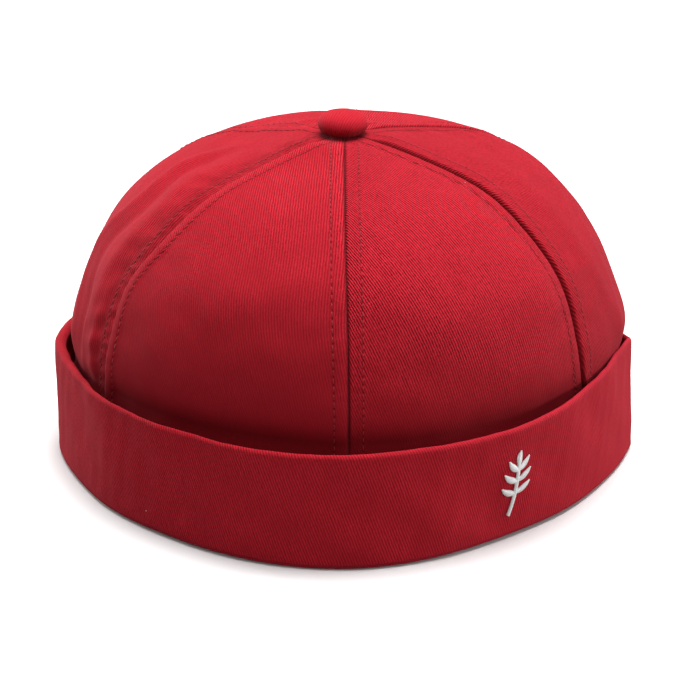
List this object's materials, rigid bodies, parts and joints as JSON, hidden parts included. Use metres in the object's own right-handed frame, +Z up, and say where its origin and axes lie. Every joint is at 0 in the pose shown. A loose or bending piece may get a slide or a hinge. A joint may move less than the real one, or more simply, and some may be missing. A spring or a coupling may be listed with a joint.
{
  "type": "docker cap",
  "caption": "Brimless docker cap in cotton twill with a sewn panel crown, a covered button on top and a wide turned-up cuff; worn on the head.",
  "frame": {"origin": "on the surface that the cap rests on, under the middle of its width and depth", "axes": "+Z up through the button, -Y towards the front of the cap, +X towards the wearer's left"},
  "size_m": [0.1984, 0.1916, 0.1201],
  "materials": {
    "twill": "dark red cotton twill, matte",
    "stud": "plain steel"
  },
  "bodies": {
    "root": {"panel_front_left": "twill", "panel_side_left": "twill", "panel_back_left": "twill", "panel_back_right": "twill", "panel_side_right": "twill", "panel_front_right": "twill", "cuff": "twill", "crown_button": "twill", "button_stud": "stud"}
  },
  "joints": []
}
